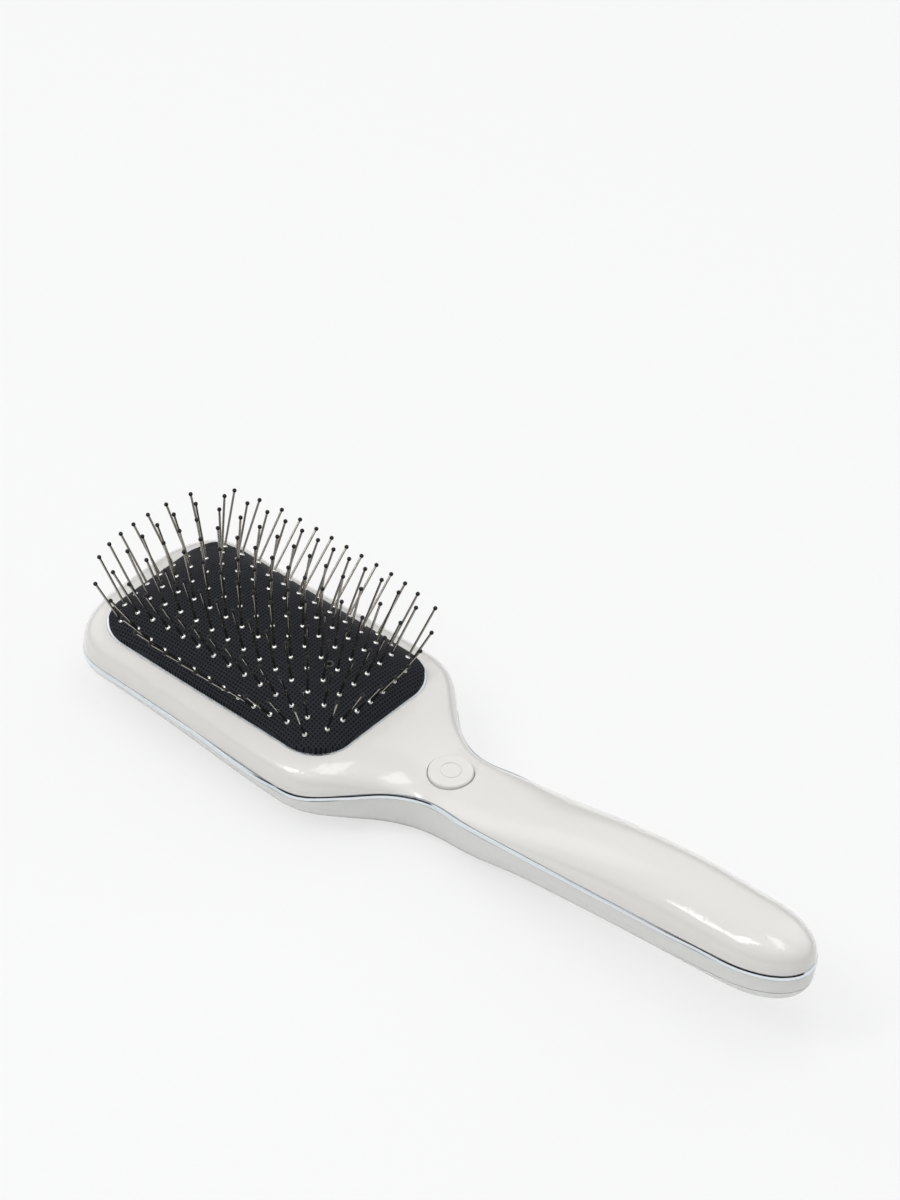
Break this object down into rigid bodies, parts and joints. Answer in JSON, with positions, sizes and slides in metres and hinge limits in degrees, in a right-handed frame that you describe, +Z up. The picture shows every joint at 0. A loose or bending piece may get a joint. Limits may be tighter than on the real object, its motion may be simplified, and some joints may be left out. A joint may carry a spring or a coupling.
{
  "type": "paddle brush",
  "caption": "Battery-powered ionic paddle brush: split case with a trim band, domed rubber cushion with ball-tipped steel pins, push button on the neck, sliding battery cover.",
  "frame": {"origin": "on the resting plane under the middle of the brush's length", "axes": "+Y to the tip of the head, -Y to the end of the handle, X across, +Z up, pins upwards"},
  "size_m": [0.0716, 0.251, 0.0515],
  "materials": {
    "case_white": "glossy injection-moulded case",
    "case_back": "glossy injection-moulded case",
    "cover_white": "glossy injection-moulded cover",
    "button_white": "satin moulded plastic",
    "band_chrome": "bright plated trim",
    "bezel_chrome": "bright plated trim",
    "cushion_rubber": "black rubber with a woven surface",
    "tip_black": "dipped nylon balls",
    "steel": "bright steel",
    "spring_steel": "drawn spring wire",
    "plastic_black": "moulded black plastic",
    "plastic_grey": "moulded grey plastic",
    "board_green": "fibreglass circuit board",
    "cell_wrap": "plain wrapped metal can",
    "lead_red": "insulated wire",
    "lead_black": "insulated wire"
  },
  "bodies": {
    "root": {"front_shell": "case_white", "back_shell": "case_back", "trim_band": "band_chrome", "pad_bezel": "bezel_chrome", "pin_cushion": "cushion_rubber", "pin_ball_tips": "tip_black", "cushion_plate": "plastic_black", "emitter_nozzle": "plastic_black", "emitter_needle": "steel", "ion_module": "plastic_grey", "module_lead_positive": "lead_red", "module_lead_negative": "lead_black", "switch_body": "plastic_black", "circuit_board": "board_green", "board_components": "plastic_black", "battery": "cell_wrap", "battery_tray": "plastic_black", "positive_contact": "steel", "spring_contact": "steel", "battery_spring": "spring_steel", "battery_lead_positive": "lead_red", "battery_lead_negative": "lead_black", "case_screws": "steel"},
    "button": {"power_button": "button_white", "switch_plunger": "plastic_grey", "button_return_spring": "spring_steel"},
    "cover": {"battery_cover": "cover_white"}
  },
  "joints": [
    {"name": "button_press", "type": "slide", "parent": "root", "child": "button", "axis": [0, 0, -1], "range_m": [0, 0.001], "stiffness_N_per_m": 800, "springref_m": -0.001, "deforming": ["button_return_spring"]},
    {"name": "cover_slide", "type": "slide", "parent": "root", "child": "cover", "axis": [0, -0.9914, 0.1305], "range_m": [0, 0.025]}
  ]
}
